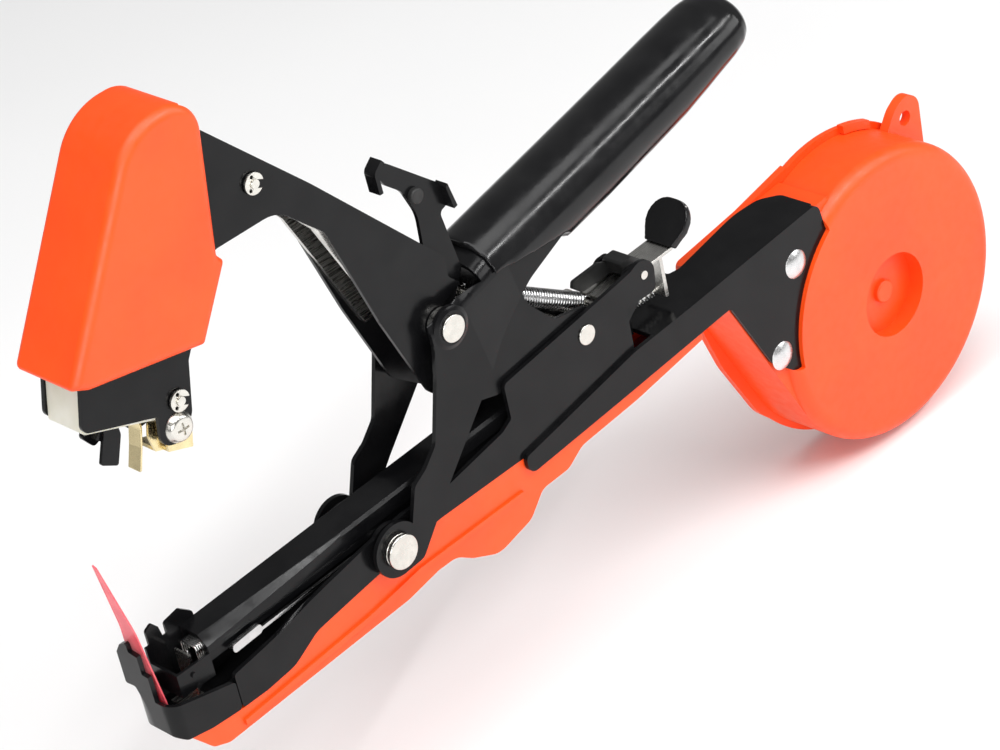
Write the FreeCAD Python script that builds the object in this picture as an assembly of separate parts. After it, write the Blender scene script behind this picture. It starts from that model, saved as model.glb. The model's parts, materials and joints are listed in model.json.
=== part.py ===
"""Plant-tying plier stapler (a tape tool worked like pliers), in millimetres.

The outlines are drawn from the clincher arm's pivot: X runs to the rear, along the magazine,
Y runs across the tool, Z is up, and Y = 0 is the middle plane. At the end every part is moved
so that the origin is at the centre of the bounding box's bottom.
"""
import FreeCAD
import Part

import math
import os

V = FreeCAD.Vector

# ---------------------------------------------------------------- driving dimensions
PIVOT_C = (-76.7, -19.4)        # handle pivot, low on the frame
PIVOT_B = (-44.7, 28.6)         # pin that joins the handle to the clincher arm
PIVOT_M = (23.5, 5.2)           # magazine pivot, at the frame's rear ears
REEL = (113.2, -50.6)           # centre of the tape reel

MAGAZINE_HALF = 4.65            # half-widths of the nested channels, from the inside out
ARM_IN, ARM_OUT = 6.4, 7.6
FRAME_IN, FRAME_OUT = 7.9, 9.2
REAR_OUT = 10.6
LEVER_IN, LEVER_OUT = 10.8, 12.1
COVER_OUT = 11.8
HEAD_OUT = 14.2                 # outer faces of the handle pivot's pin heads
COIL_OUT = 13.2                 # outer side of the coils under those heads

SHEET = 1.3                     # steel sheet thickness
PLASTIC = 1.5                   # moulded wall thickness
PIN_GAP = 0.05                  # radial running clearance of a hinge pin
GAP = 0.3                       # space between neighbours that move past each other

PIN_A, PIN_B, PIN_C, PIN_M = 1.9, 2.0, 2.5, 1.2      # pin radii
SMALL_PIN = 1.15                # radius of the pins in the head and the arm
SCREW_R = 1.5
CLOSING_DEG = 21.8              # clincher arm travel
HANDLE_DEG = 9.5                # handle travel
MAGAZINE_SLOPE = math.radians(2.45)
MAGAZINE_TOP = -5.1             # height of the magazine's top under PIVOT_M
MAGAZINE_DEEP = 7.5
MAGAZINE_PIN_END = 6.2          # far end of the magazine's pivot pin

CASE_R = 44.0
CASE_FACE = -12.0               # near face of the tape case
CASE_FLAT = -9.2                # near face of its throat
CASE_SPLIT = 8.5                # where the lid meets the shell
LID_R = 46.0
LID_OUT = 12.4
CORE_R, CORE_HOLE = 16.0, 12.65  # tape core
ROLL_R = 37.5                   # full roll of tape
TAPE_WIDE = 11.0
LID_HINGE = (161.0, 10.6)       # X and Y of the lid's hinge line
LID_PIN_R = 1.0
KNUCKLES = (-62.6, -44.6)       # undersides of the shell's two hinge knuckles
KNUCKLE_HIGH = 6.0
HUB_R, HUB_POST = 12.5, 12.6    # recess in the near face, post that carries the roll
HUB_FLOOR, HUB_SHOULDER, HUB_END = -7.0, -6.2, 5.6
EYE, EYE_R = (144.2, -12.5), 2.3
EYE_NEAR, EYE_FAR = 3.5, 6.5     # faces of the hanging lug
CASE_RIVETS = ((77.7, -21.1), (66.8, -45.0))
RIVET_R = 2.0
RIVET_HEAD, RIVET_DOME = 4.2, 1.3
THROAT = (50.6, -20.6)          # lower front corner of the case's throat

NOSE_FRONT, NOSE_REAR = -151.3, -131.5
NOSE_LIP = -20.4
NOSE_FAR_R = 9.5                # the nose curves away on its far side
FLOOR_TOP = -31.9               # top of the floor inside the nose
GUIDE_OUT = 9.0
MAG_FRONT, MAG_REAR = -134.0, 20.0
GATE_FRONT, GATE_REAR = -144.6, -133.9
GATE_OUT = 5.45
PUSHER_X = -85.6                # front of the pusher at rest
ROD_DROP = -3.4                 # pusher rod's line under the magazine's top
STRIP_DROP = 7.3                # strip's underside above the magazine's top line
STRIP_BEND = 39.4
PADDLE_DEG = -48
SCREW = (-125.6, 45.9)
CATCH_PIN = (-123.9, 52.6)
ARM_CLIP_PIN = (-88.3, 92.2)
CLAW_PIN = (-141.5, 62.0)
SPRING_REAR = (9.6, 1.6)        # ends of the return spring
SPRING_FRONT = (-30.0, 27.6)
SPRING_R = 2.9

HOOK_NEAR, HOOK_FAR = -5.6, -4.4    # faces of the storage hook's plate
GRIP_START = (-26.0, 46.6)      # the grip's axis frame: origin and rise towards the rear
GRIP_RISE = math.atan2(19.0, 92.0)
# stations of the grip: distance along it, half-width, height of its middle, half-height
GRIP_STATIONS = ((-3.0, 12.0, -14.9, 10.6), (12.0, 12.3, -15.0, 10.9), (40.0, 12.4, -14.8, 10.9),
                 (72.0, 12.3, -14.0, 10.5), (81.0, 12.2, -13.4, 10.0), (88.0, 12.0, -12.9, 9.5),
                 (94.0, 11.8, -12.6, 9.1), (98.0, 11.2, -12.4, 8.4), (100.4, 10.0, -12.3, 7.4),
                 (102.0, 8.0, -12.2, 6.0), (103.0, 5.0, -12.2, 4.0))
GRIP_POINTS = 24                # points round each section
# stations of the handle's channel: distance along the grip, half-width, top, corner radius
CHANNEL_STATIONS = ((-120.0, 12.1, -7.5, 5.0), (-16.0, 12.1, -7.5, 5.0), (2.0, 10.0, -6.6, 7.0),
                    (110.0, 10.0, -6.6, 7.0))
WEB_FRONT = -7.5                # the channel's top web starts here
WAVES = (29.0, 37.5, 46.0)      # finger waves under the grip
WAVE_R, WAVE_DEEP = 5.0, 0.9

parts = {}


# ---------------------------------------------------------------- drawing helpers
def corner_points(before, corner, after, radius):
    """Tangent points and middle of the arc that rounds one corner of an outline."""
    into = (before - corner).normalize()
    out = (after - corner).normalize()
    half = into.getAngle(out) / 2
    reach = radius / math.tan(half)
    middle = (into + out).normalize()
    top = corner + middle * (radius / math.sin(half) - radius)
    return corner + into * reach, top, corner + out * reach


def wire(outline, place):
    """Closed wire through (a, b) or (a, b, radius) points; place turns a, b into a vector."""
    points = [place(p[0], p[1]) for p in outline]
    edges = []
    start = None
    last = None
    for i, p in enumerate(outline):
        radius = p[2] if len(p) > 2 else 0
        before, after = points[i - 1], points[(i + 1) % len(points)]
        if radius:
            enter, top, leave = corner_points(before, points[i], after, radius)
        else:
            enter = leave = points[i]
        if last is not None and (enter - last).dot(points[i] - before) < 0:
            print("corner too large at", outline[i])
        if last is not None and last.distanceToPoint(enter) > 1e-6:
            edges.append(Part.makeLine(last, enter))
        if radius:
            edges.append(Part.Arc(enter, top, leave).toShape())
        start = start if start is not None else enter
        last = leave
    if (start - last).dot(points[0] - points[-1]) < 0:
        print("corner too large at", outline[0])
    if last.distanceToPoint(start) > 1e-6:
        edges.append(Part.makeLine(last, start))
    return Part.Wire(edges)


def plate(outline, y0, y1):
    """Solid with an outline in the X-Z plane, from y0 to y1."""
    face = Part.Face(wire(outline, lambda x, z: V(x, y0, z)))
    return face.extrude(V(0, y1 - y0, 0))


def plan(outline, z0, z1):
    """Solid with an outline in the X-Y plane, from z0 to z1."""
    face = Part.Face(wire(outline, lambda x, y: V(x, y, z0)))
    return face.extrude(V(0, 0, z1 - z0))


def section(outline, x0, x1):
    """Solid with an outline in the Y-Z plane, from x0 to x1."""
    face = Part.Face(wire(outline, lambda y, z: V(x0, y, z)))
    return face.extrude(V(x1 - x0, 0, 0))


def box(x0, x1, y0, y1, z0, z1):
    return Part.makeBox(x1 - x0, y1 - y0, z1 - z0, V(x0, y0, z0))


def band(points, thickness, y0, y1):
    """Strip of sheet whose lower face follows the points."""
    upper = [(p[0], p[1] + thickness) + tuple(p[2:]) for p in reversed(points)]
    return plate(list(points) + upper, y0, y1)


def rod_y(centre, radius, y0, y1):
    return Part.makeCylinder(radius, y1 - y0, V(centre[0], y0, centre[1]), V(0, 1, 0))


def rod_z(centre, radius, z0, z1):
    return Part.makeCylinder(radius, z1 - z0, V(centre[0], centre[1], z0))


def turned(profile, centre, about=V(0, 1, 0)):
    """Solid turned about the Y line through centre; profile is (radius, y) points."""
    shape = Part.Face(wire(profile, lambda r, y: V(centre[0] + r, y, centre[1])))
    return shape.revolve(V(centre[0], 0, centre[1]), about, 360)


def mirrored(shape):
    return shape.mirror(V(0, 0, 0), V(0, 1, 0))


def both(shape):
    """The shape and its mirror image across the middle plane, fused."""
    return shape.fuse(mirrored(shape)).removeSplitter()


def tilted(shape, angle_deg, centre):
    """Turn a shape in the X-Z plane about centre; positive lifts the front."""
    result = shape.copy()
    result.rotate(V(centre[0], 0, centre[1]), V(0, 1, 0), angle_deg)
    return result


def add(name, *solids):
    parts[name] = solids[0] if len(solids) == 1 else Part.makeCompound(list(solids))


# ---------------------------------------------------------------- frame
FRAME_TOP = [
    (-131.2, -33.5, 1), (-131.2, -23.4, 1), (-116.0, -21.2, 10), (-104.0, -18.4, 14), (-85.0, -15.0, 6),
    (-70.0, -13.2, 4), (-54.0, -14.0, 6), (-34.0, -10.5, 1.5), (-30.3, -8.5, 1),
    (-30.3, 2.0, 1.5), (12.0, 7.4, 12), (19.0, 8.4, 1.5), (22.2, 9.7, 3), (28.0, 8.4, 4.5),
    (26.8, -1.1, 2), (15.3, -1.1, 0.6),
]
FRAME_BOTTOM = [
    (15.3, -21.5, 1), (-60.0, -21.5, 20), (-86.0, -25.0, 10), (-104.6, -27.6, 10),
    (-113.5, -32.4, 8), (-123.0, -33.5, 6),
]


FAR_TOP = [(-30.3, 2.0, 1.5), (-6.0, 4.6, 6), (8.0, 4.2, 6), (15.3, -1.1, 1)]


def base_frame():
    """Folded channel whose near wall alone carries the magazine's pivot ear."""
    eye = rod_y(PIVOT_C, 6.6, FRAME_IN, FRAME_OUT)
    near = mirrored(plate(FRAME_TOP + FRAME_BOTTOM, FRAME_IN, FRAME_OUT).fuse(eye))
    far = plate(FRAME_TOP[:9] + FAR_TOP + FRAME_BOTTOM, FRAME_IN, FRAME_OUT).fuse(eye)
    floor_line = [FRAME_BOTTOM[0][:2]] + FRAME_BOTTOM[1:] + [FRAME_TOP[0][:2]]
    floor = band(floor_line, SHEET, -FRAME_IN, FRAME_IN)
    shape = near.fuse([far, floor]).removeSplitter()
    for centre, radius in ((PIVOT_C, PIN_C), ((0, 0), PIN_A), (PIVOT_M, PIN_M)):
        shape = shape.cut(rod_y(centre, radius, -HEAD_OUT, HEAD_OUT))
    return shape


def front_nose():
    """Bent plate round the front, with the prong that keeps the tape's end upright."""
    wall = NOSE_FRONT + SHEET
    outside = plan([(NOSE_REAR, -FRAME_OUT), (NOSE_FRONT, -FRAME_OUT, 3.6),
                    (NOSE_FRONT, FRAME_OUT, NOSE_FAR_R), (NOSE_REAR, FRAME_OUT)], -36, -4)
    inside = plan([(NOSE_REAR + 1, -FRAME_IN), (wall, -FRAME_IN, 3.6 - SHEET),
                   (wall, FRAME_IN, NOSE_FAR_R - SHEET), (NOSE_REAR + 1, FRAME_IN)], -37, -3)
    profile = plate([(NOSE_FRONT, NOSE_LIP), (-147.0, -21.6, 2), (NOSE_REAR, -25.4, 1),
                     (NOSE_REAR, -33.5, 1), (-141.0, -32.9, 10), (-148.6, -31.5, 2),
                     (NOSE_FRONT, -29.6, 1)], -FRAME_OUT, FRAME_OUT)
    wrap = outside.cut(inside).common(profile)
    prong = section([(-3.7, -26.0), (-3.7, -13.0), (-1.5, -12.8), (-1.5, -7.6), (1.6, -7.2), (1.8, -4.6, 0.6),
                     (4.6, -5.9, 1), (6.8, -8.9, 1), (6.9, -18.5, 0.6), (3.2, -18.2, 1), (-0.6, -26.0)],
                    NOSE_FRONT, wall)
    floor = box(-142.8, NOSE_REAR, -FRAME_IN, FRAME_IN, FLOOR_TOP - 1.1, FLOOR_TOP)
    tabs = both(box(-138.0, -124.0, FRAME_IN - SHEET, FRAME_IN, -31.0, -26.0))
    return wrap.fuse([prong, floor.common(outside), tabs]).removeSplitter()


def driver_blade():
    """Fixed blade that pushes one staple up as the magazine goes down on it."""
    blade = box(-138.3, -137.7, -2.7, 2.7, FLOOR_TOP, -15.2)
    foot = box(-141.0, -134.5, -FRAME_IN + SHEET, FRAME_IN - SHEET, FLOOR_TOP, FLOOR_TOP + 1.0)
    return blade.fuse(foot).removeSplitter()


GUIDE_BOTTOM = [
    (40.0, -24.6), (13.0, -28.2, 10), (-9.0, -29.8, 6), (-15.0, -33.5, 5), (-25.0, -33.8, 4),
    (-31.0, -39.9, 5), (-43.6, -42.9, 8), (-52.4, -38.8, 6), (-57.5, -35.2, 6), (-64.0, -35.2, 6),
    (-75.0, -37.2, 10), (-137.5, -40.0, 4), (-142.2, -38.2, 3), (-147.4, -31.8),
]
GUIDE_TOP = [
    (-141.0, -33.1, 10), (-131.5, -33.7), (-123.0, -33.6, 6), (-113.5, -32.5, 8),
    (-104.6, -27.7, 10), (-86.0, -25.1, 10), (-60.0, -21.6, 20), (40.0, -21.6),
]
def tape_guide():
    """Moulded trough under the frame that brings the tape from the case to the nose."""
    outer = plate(GUIDE_BOTTOM + GUIDE_TOP, -GUIDE_OUT, GUIDE_OUT)
    drop = PLASTIC
    floor = [(p[0], p[1] + drop) + tuple(p[2:]) for p in GUIDE_BOTTOM]
    floor[0] = (41.0, floor[0][1])
    floor[-1] = (-146.0, -32.2)
    high = [(-141.0, -20.0), (41.0, -20.0)]
    trough = plate(floor + high, -GUIDE_OUT + PLASTIC, GUIDE_OUT - PLASTIC)
    rib = plate([(-132.0, -36.6), (-88.0, -33.2, 10), (-70.0, -30.4, 10), (-32.0, -30.0),
                 (-32.0, -31.4), (-70.0, -31.9, 10), (-88.0, -34.8, 10), (-132.0, -38.2)],
                GUIDE_OUT, GUIDE_OUT + 0.8)
    shape = outer.cut(trough).fuse([rib, mirrored(rib)]).removeSplitter()
    return shape.cut(base_frame()).cut(front_nose())


def case_tangent(radius):
    """Lower front point where a line from the throat's corner touches the case's circle."""
    corner = V(THROAT[0], 0, THROAT[1])
    centre = V(REEL[0], 0, REEL[1])
    reach = centre - corner
    swing = math.asin(radius / reach.Length)
    length = math.sqrt(reach.Length ** 2 - radius ** 2)
    heading = math.atan2(reach.z, reach.x) - swing
    return corner.x + length * math.cos(heading), corner.z + length * math.sin(heading)


CHANNEL_TOP = [(14.0, -13.2, 12), (36.0, -11.9, 20)]
CHANNEL_REAR = (89.7, -7.9)
GUSSET_ARC = CASE_R - 4.2


def gusset_plate(y0, y1, arc_r):
    """Near side plate of the rear channel, cut to an arc beside the case's face."""
    outline = [(-29.4, -26.4, 2.8), (-29.4, -20.8, 1.6)] + CHANNEL_TOP
    outline += [CHANNEL_REAR + (3,), (91.2, -16.4, 2), (99.0, -50.6), (71.0, -52.6, 5),
                (62.6, -45.2, 4), (50.8, -20.4, 2), (6.0, -23.9, 20)]
    near = plate(outline, y0, y1)
    near = near.cut(rod_y(REEL, arc_r, -20, 0))
    return near.cut(box(76.0, 99.0, -20, 0, -60, -47.5))


def rear_channel():
    """Inverted channel from the frame to the case, with a gusset riveted to the case."""
    near = gusset_plate(-REAR_OUT, -FRAME_OUT, GUSSET_ARC)
    far = plate([(-29.4, -26.4, 2.8), (-29.4, -20.8, 1.6)] + CHANNEL_TOP
                + [(45.5, -11.2), (45.5, -19.8), (6.0, -23.9, 20)], FRAME_OUT, REAR_OUT)
    rise = (CHANNEL_REAR[1] - CHANNEL_TOP[1][1]) / (CHANNEL_REAR[0] - CHANNEL_TOP[1][0])
    top = [(22.0, -12.73), CHANNEL_TOP[1][:2], (88.6, CHANNEL_TOP[1][1] + rise * 52.6)]
    web = plate(top + [(p[0], p[1] - SHEET) for p in reversed(top)], -FRAME_OUT, FRAME_OUT)
    far_edge = plan([(45.5, 12.0), (45.5, 6.0, 1), (49.0, 4.9, 3), (75.0, 8.0, 30), (84.0, 6.6, 6),
                     (88.6, 2.0, 4), (89.6, -11.0), (95.0, -11.0), (95.0, 12.0)], -16, -4)
    shape = near.fuse([far, web.cut(far_edge)]).removeSplitter()
    for centre in CASE_RIVETS:
        shape = shape.cut(rod_y(centre, RIVET_R, -20, 20))
    return shape


def case_rivet(centre):
    """Rivet with a domed head outside the gusset and a flat tail inside the case."""
    shank = rod_y(centre, RIVET_R, -REAR_OUT, CASE_FLAT + 3.0)
    ball_r = (RIVET_HEAD ** 2 + RIVET_DOME ** 2) / (2 * RIVET_DOME)
    ball = Part.makeSphere(ball_r, V(centre[0], ball_r - REAR_OUT - RIVET_DOME, centre[1]))
    head = ball.common(rod_y(centre, RIVET_HEAD, -REAR_OUT - 2 * RIVET_DOME, -REAR_OUT))
    tail = rod_y(centre, 2.7, CASE_FLAT + PLASTIC, CASE_FLAT + 3.0)
    return shank.fuse([head, tail]).removeSplitter()


def throat(corner_in, y0, y1):
    """Part of the case that leads the tape forward, its wall inset by corner_in."""
    low = case_tangent(CASE_R - 1.4 * corner_in)
    front = THROAT[0] + 1.2 * corner_in, THROAT[1] + 0.5 * corner_in
    return plate([front, (51.5 + corner_in, -12.3 - corner_in), (95.0, -9.1 - corner_in), REEL, low], y0, y1)


def reel_case():
    """Near shell of the tape case, with the hub that the roll turns on and the hanging eye."""
    body = dome_solid(CASE_R, CASE_FACE, 4.0, CASE_SPLIT)
    hollow = dome_solid(CASE_R - PLASTIC, CASE_FACE + PLASTIC, 4.0 - PLASTIC, CASE_SPLIT + 1)
    hollow = hollow.cut(gusset_plate(CASE_FACE - 1, CASE_FLAT + PLASTIC, GUSSET_ARC - PLASTIC))
    shape = body.fuse(throat(0, CASE_FLAT, CASE_SPLIT))
    shape = shape.cut(hollow).cut(throat(PLASTIC, CASE_FLAT + PLASTIC, CASE_SPLIT + 1))
    shape = shape.cut(rod_y(REEL, HUB_R, CASE_FACE - 1, CASE_FACE + 3))
    hub = turned([(3.4, HUB_FLOOR), (HUB_R, HUB_FLOOR), (HUB_R, CASE_FACE), (HUB_R + 1.9, CASE_FACE),
                  (HUB_R + 1.9, HUB_SHOULDER), (HUB_POST, HUB_SHOULDER), (HUB_POST, HUB_END),
                  (HUB_POST - 1.4, HUB_END), (HUB_POST - 1.4, HUB_FLOOR + 1.4), (3.4, HUB_FLOOR + 1.4)],
                 REEL)
    boss = turned([(0, HUB_FLOOR - 1.6), (3.4, HUB_FLOOR - 1.6, 0.6), (3.4, HUB_FLOOR + 1.4),
                   (0, HUB_FLOOR + 1.4)], REEL)
    exit_slot = box(44.0, 56.0, -TAPE_WIDE / 2 - 1.5, CASE_SPLIT + 1, -19.0, -14.0)
    shape = shape.cut(exit_slot).cut(gusset_plate(CASE_FACE - 1, CASE_FLAT, GUSSET_ARC))
    shape = shape.fuse([hub, boss, hanging_eye()]).removeSplitter()
    for centre in CASE_RIVETS:
        shape = shape.cut(case_rivet(centre))
    for centre in CASE_RIVETS:
        shape = shape.cut(rod_y(centre, RIVET_R, -20, 0))
    knuckles = [rod_z(LID_HINGE, 2.0, z, z + KNUCKLE_HIGH) for z in KNUCKLES]
    arms = [plan([(150.0, 3.0), (158.5, 3.0), (LID_HINGE[0] + 1.6, LID_HINGE[1] - 1.0),
                  (LID_HINGE[0] - 1.0, LID_HINGE[1] - 0.2), (156.4, CASE_SPLIT), (150.0, CASE_SPLIT)],
                 z, z + KNUCKLE_HIGH) for z in KNUCKLES]
    inner = rod_y(REEL, CASE_R - 0.6, -12, CASE_SPLIT + 4)
    shape = shape.fuse(knuckles + [arm.cut(inner) for arm in arms]).removeSplitter()
    return shape.cut(rod_z(LID_HINGE, LID_PIN_R, -70, -30))


def dome_solid(rim_r, face, round_r, end_y):
    """Turned cup body: flat face, rounded edge, straight wall to end_y."""
    return turned([(0, face), (rim_r, face, round_r), (rim_r, end_y), (0, end_y)], REEL)


def hanging_eye():
    """Tear-shaped lug on the case's rim with a hole to hang the tool by."""
    outline = [(134.0, -16.0), (140.0, -8.4, 8), (145.6, -5.4, 5), (150.9, -8.6, 5), (150.6, -24.0)]
    lug = plate(outline, EYE_NEAR, EYE_FAR)
    lug = lug.cut(rod_y(REEL, CASE_R - 0.8, 0, 8))
    return lug.cut(rod_y(EYE, EYE_R, 0, 8))


def case_lid():
    """Far shell of the case; it swings out on a hinge at the rear to load a roll."""
    profile = [(0, CASE_SPLIT + 2.0), (LID_R - 2.4, CASE_SPLIT + 2.0), (LID_R - 2.4, CASE_SPLIT + 0.1),
               (LID_R, CASE_SPLIT + 0.1), (LID_R, LID_OUT - 1.6, 1.5), (LID_R - 4.0, LID_OUT, 3),
               (0, LID_OUT)]
    disc = turned(profile, REEL)
    tongue = plate([(52.0, -23.6, 1), (53.2, -13.3, 2), (78.4, -10.3, 20), (99.0, -6.4), REEL,
                    (81.2, -83.2), (72.2, -74.0, 20), (61.6, -52.5, 30)], CASE_SPLIT + 0.1, CASE_SPLIT + 2.4)
    hub = turned([(0, LID_OUT), (9.0, LID_OUT), (9.0, HUB_END + 0.4), (7.6, HUB_END + 0.4),
                  (7.6, CASE_SPLIT + 2.0), (0, CASE_SPLIT + 2.0)], REEL)
    tab = rod_y(REEL, LID_R + 0.8, EYE_FAR + GAP, CASE_SPLIT + 0.6).cut(rod_y(REEL, CASE_R + GAP, 0, 20))
    tab = tab.common(box(122.0, 133.0, 0, 20, -20, 0))
    shape = disc.fuse([tongue, hub, tab]).removeSplitter()
    knuckle = rod_z(LID_HINGE, 2.0, -56.3, -44.9)
    arm = box(150.0, LID_HINGE[0], CASE_SPLIT + 1.4, LID_OUT - 0.6, -56.3, -44.9)
    arm = arm.fuse(knuckle)
    shape = shape.fuse(arm).removeSplitter()
    for z in KNUCKLES:
        shape = shape.cut(box(155.6, 166.0, 0, LID_OUT + 2, z - GAP, z + KNUCKLE_HIGH + GAP))
    return shape.cut(rod_z(LID_HINGE, LID_PIN_R + PIN_GAP, -70, -30))


def case_hinge_pin():
    return rod_z(LID_HINGE, LID_PIN_R, -63.2, -38.0)


def pivot_pin_a():
    shank = rod_y((0, 0), PIN_A, -FRAME_OUT - 0.6, FRAME_OUT + 0.6)
    heads = both(turned([(0, FRAME_OUT), (2.85, FRAME_OUT), (2.85, FRAME_OUT + 0.6, 0.3),
                         (0, FRAME_OUT + 0.6)], (0, 0)))
    return shank.fuse(heads).removeSplitter()


def pivot_pin_c(side):
    """One of two stub pins; the magazine passes between them."""
    profile = [(0, FRAME_IN - 0.9), (2.8, FRAME_IN - 0.9), (2.8, FRAME_IN), (PIN_C, FRAME_IN),
               (PIN_C, COIL_OUT), (4.75, COIL_OUT), (4.75, HEAD_OUT, 0.4), (0, HEAD_OUT)]
    shape = turned(profile, PIVOT_C)
    return shape if side > 0 else mirrored(shape)


def magazine_pin():
    return rod_y(PIVOT_M, PIN_M, -FRAME_OUT - 0.3, MAGAZINE_PIN_END)


def pivot_coil(side):
    """Two turns of the handle's torsion spring, round a stub pin outside the handle."""
    wire_r = 0.26
    rings = [turned_ring(PIVOT_C, 4.3, y, wire_r) for y in (LEVER_OUT + 0.29, COIL_OUT - 0.27)]
    shape = Part.makeCompound(rings)
    return shape if side > 0 else mirrored(shape)


def turned_ring(centre, radius, y, wire_r):
    return Part.makeTorus(radius, wire_r, V(centre[0], y, centre[1]), V(0, 1, 0))


def lift_spring():
    """Torsion spring beside the magazine that holds its front up."""
    leg = plate([(-127.5, -19.2), (-77.0, -17.4), (-77.0, -16.6), (-127.5, -18.3)], -6.9, -6.1)
    doubled = plate([(-128.4, -19.5, 1), (-118.8, -18.9, 1), (-118.8, -16.3, 1), (-128.4, -17.1, 1)],
                    -7.5, -5.9)
    loop = rod_y(PIVOT_C, 2.8, -6.9, -5.8).cut(rod_y(PIVOT_C, 1.9, -9, -4))
    return leg.fuse([doubled, loop]).removeSplitter()


def spring_anchor():
    """Cross pin behind the arm that holds the rear end of the return spring."""
    x, z = SPRING_REAR
    post = rod_y(SPRING_REAR, 1.1, -FRAME_IN, FRAME_IN)
    cheeks = both(plate([(x - 1.4, z - 4.4), (x + 2.2, z - 4.4), (x + 2.2, z + 1.6, 1.6),
                         (x - 1.4, z + 1.6, 1.2)],
                        FRAME_IN - SHEET, FRAME_IN))
    return post.fuse(cheeks).removeSplitter()


# ---------------------------------------------------------------- magazine
def magazine_line(x):
    """Height of the magazine's top at rest."""
    return MAGAZINE_TOP + (x - PIVOT_M[0]) * math.tan(MAGAZINE_SLOPE)


def magazine_span(x0, x1, top, bottom, y0, y1):
    """Piece of the magazine between x0 and x1; top and bottom are heights above its top face."""
    z0, z1 = magazine_line(x0), magazine_line(x1)
    return plate([(x0, z0 + bottom), (x0, z0 + top), (x1, z1 + top), (x1, z1 + bottom)], y0, y1)


def magazine():
    """Staple channel: two walls and a floor, with lugs up to the pivot pin."""
    wall = magazine_span(MAG_FRONT, MAG_REAR, -2.9, -MAGAZINE_DEEP, MAGAZINE_HALF - 0.8, MAGAZINE_HALF)
    floor = magazine_span(MAG_FRONT, MAG_REAR, -MAGAZINE_DEEP + 0.8, -MAGAZINE_DEEP,
                          -MAGAZINE_HALF, MAGAZINE_HALF)
    lug = plate([(14.0, -11.0), (14.0, -1.0, 3), (20.5, 7.2, 3), (26.3, 7.2, 2.7), (26.3, -2.0, 3),
                 (20.0, -6.0)], MAGAZINE_HALF, MAGAZINE_HALF + 1.2)
    shape = both(wall.fuse(lug)).fuse(floor).removeSplitter()
    return shape.cut(rod_y(PIVOT_M, PIN_M + PIN_GAP, -20, 20))


def cover_section(x, ridge, drop):
    """Section of the magazine's cover: a flat top, a shoulder on the near side, two skirts."""
    z = magazine_line(x)
    inner = MAGAZINE_HALF - 0.8
    outline = [(MAGAZINE_HALF, 0), (MAGAZINE_HALF, -2.8), (inner, -2.8), (inner, -0.8), (ridge + 0.4, -0.8),
               (-inner - 0.8, -drop - 0.2), (-inner - 0.8, -4.6), (-GATE_OUT, -4.6), (-GATE_OUT, -drop),
               (ridge, 0)]
    return wire(outline, lambda y, h: V(x, y, z + h))


def magazine_cover():
    """Folded lid along the top of the magazine; its near shoulder narrows towards the rear."""
    sections = [cover_section(MAG_FRONT, -2.6, 2.6), cover_section(-88.0, -4.7, 0.8),
                cover_section(-8.0, -4.7, 0.8)]
    return Part.makeLoft(sections, True, True)


def staple_gate():
    """Open-topped housing at the magazine's front, where a staple comes up."""
    z = magazine_line(GATE_FRONT)
    low, high = z - 10.7, z - 4.1
    inner = GATE_OUT - 0.8
    near = box(GATE_FRONT, GATE_REAR, -GATE_OUT, -inner, low, high)
    far = box(GATE_FRONT, GATE_REAR, inner, GATE_OUT, low, z + 0.4)
    front = box(GATE_FRONT, GATE_FRONT + 0.8, -GATE_OUT, GATE_OUT, low, high)
    bosses = [rod_y((-139.9, -18.9), 0.7, -GATE_OUT - 0.5, -GATE_OUT),
              rod_y((-139.4, -22.4), 0.7, -GATE_OUT - 0.5, -GATE_OUT)]
    small_ear = plate([(-143.4, z), (-143.4, -7.6, 1), (-141.2, -6.4, 0.8), (-139.6, -8.4, 0.8), (-138.9, z)],
                      inner, GATE_OUT)
    large_ear = plate([(-137.8, z), (-137.7, -8.6, 0.8), (-132.6, -7.6, 1), (-129.2, -10.4, 1),
                       (-128.9, -13.4), (-133.4, -15.0)], inner, GATE_OUT)
    shape = near.fuse([far, front, small_ear, large_ear] + bosses).removeSplitter()
    return shape


def staple_stick():
    """Remaining strip of staples, one solid with grooves between the legs."""
    x0, x1 = -136.0, -86.0
    crown = magazine_span(x0, x1, -2.2, -3.0, -3.2, 3.2)
    leg = magazine_span(x0, x1, -3.0, -6.4, 2.6, 3.2)
    return crown.fuse(both(leg)).removeSplitter()


def rod_x(radius, x0, x1):
    """Round rod on the pusher's line, which slopes with the magazine."""
    start = V(x0, 0, magazine_line(x0) + ROD_DROP)
    return Part.makeCylinder(radius, x1 - x0, start, V(1, 0, math.tan(MAGAZINE_SLOPE)))


def pusher_block():
    block = magazine_span(PUSHER_X, PUSHER_X + 12, -2.0, -6.4, -3.4, 3.4)
    return block.cut(rod_x(1.0, PUSHER_X - 1, PUSHER_X + 20))


def pusher_rod():
    return rod_x(1.0, PUSHER_X, 34.0)


def pusher_spring():
    """Compression spring on the rod, drawn as its outer tube."""
    return rod_x(2.3, PUSHER_X + 12.5, 18.0).cut(rod_x(1.3, PUSHER_X, 22.0))


def magazine_rear_plug():
    """Wall that closes the magazine's rear and guides the pusher rod."""
    side = MAGAZINE_HALF - 0.8
    plug = magazine_span(18.2, MAG_REAR, -1.0, -MAGAZINE_DEEP + 0.8, -side, side)
    return plug.cut(rod_x(1.0 + PIN_GAP, PUSHER_X, 40.0))


def buffer_spring():
    return rod_x(1.9, 20.4, 33.6).cut(rod_x(1.25, 18.0, 36.0))


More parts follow.
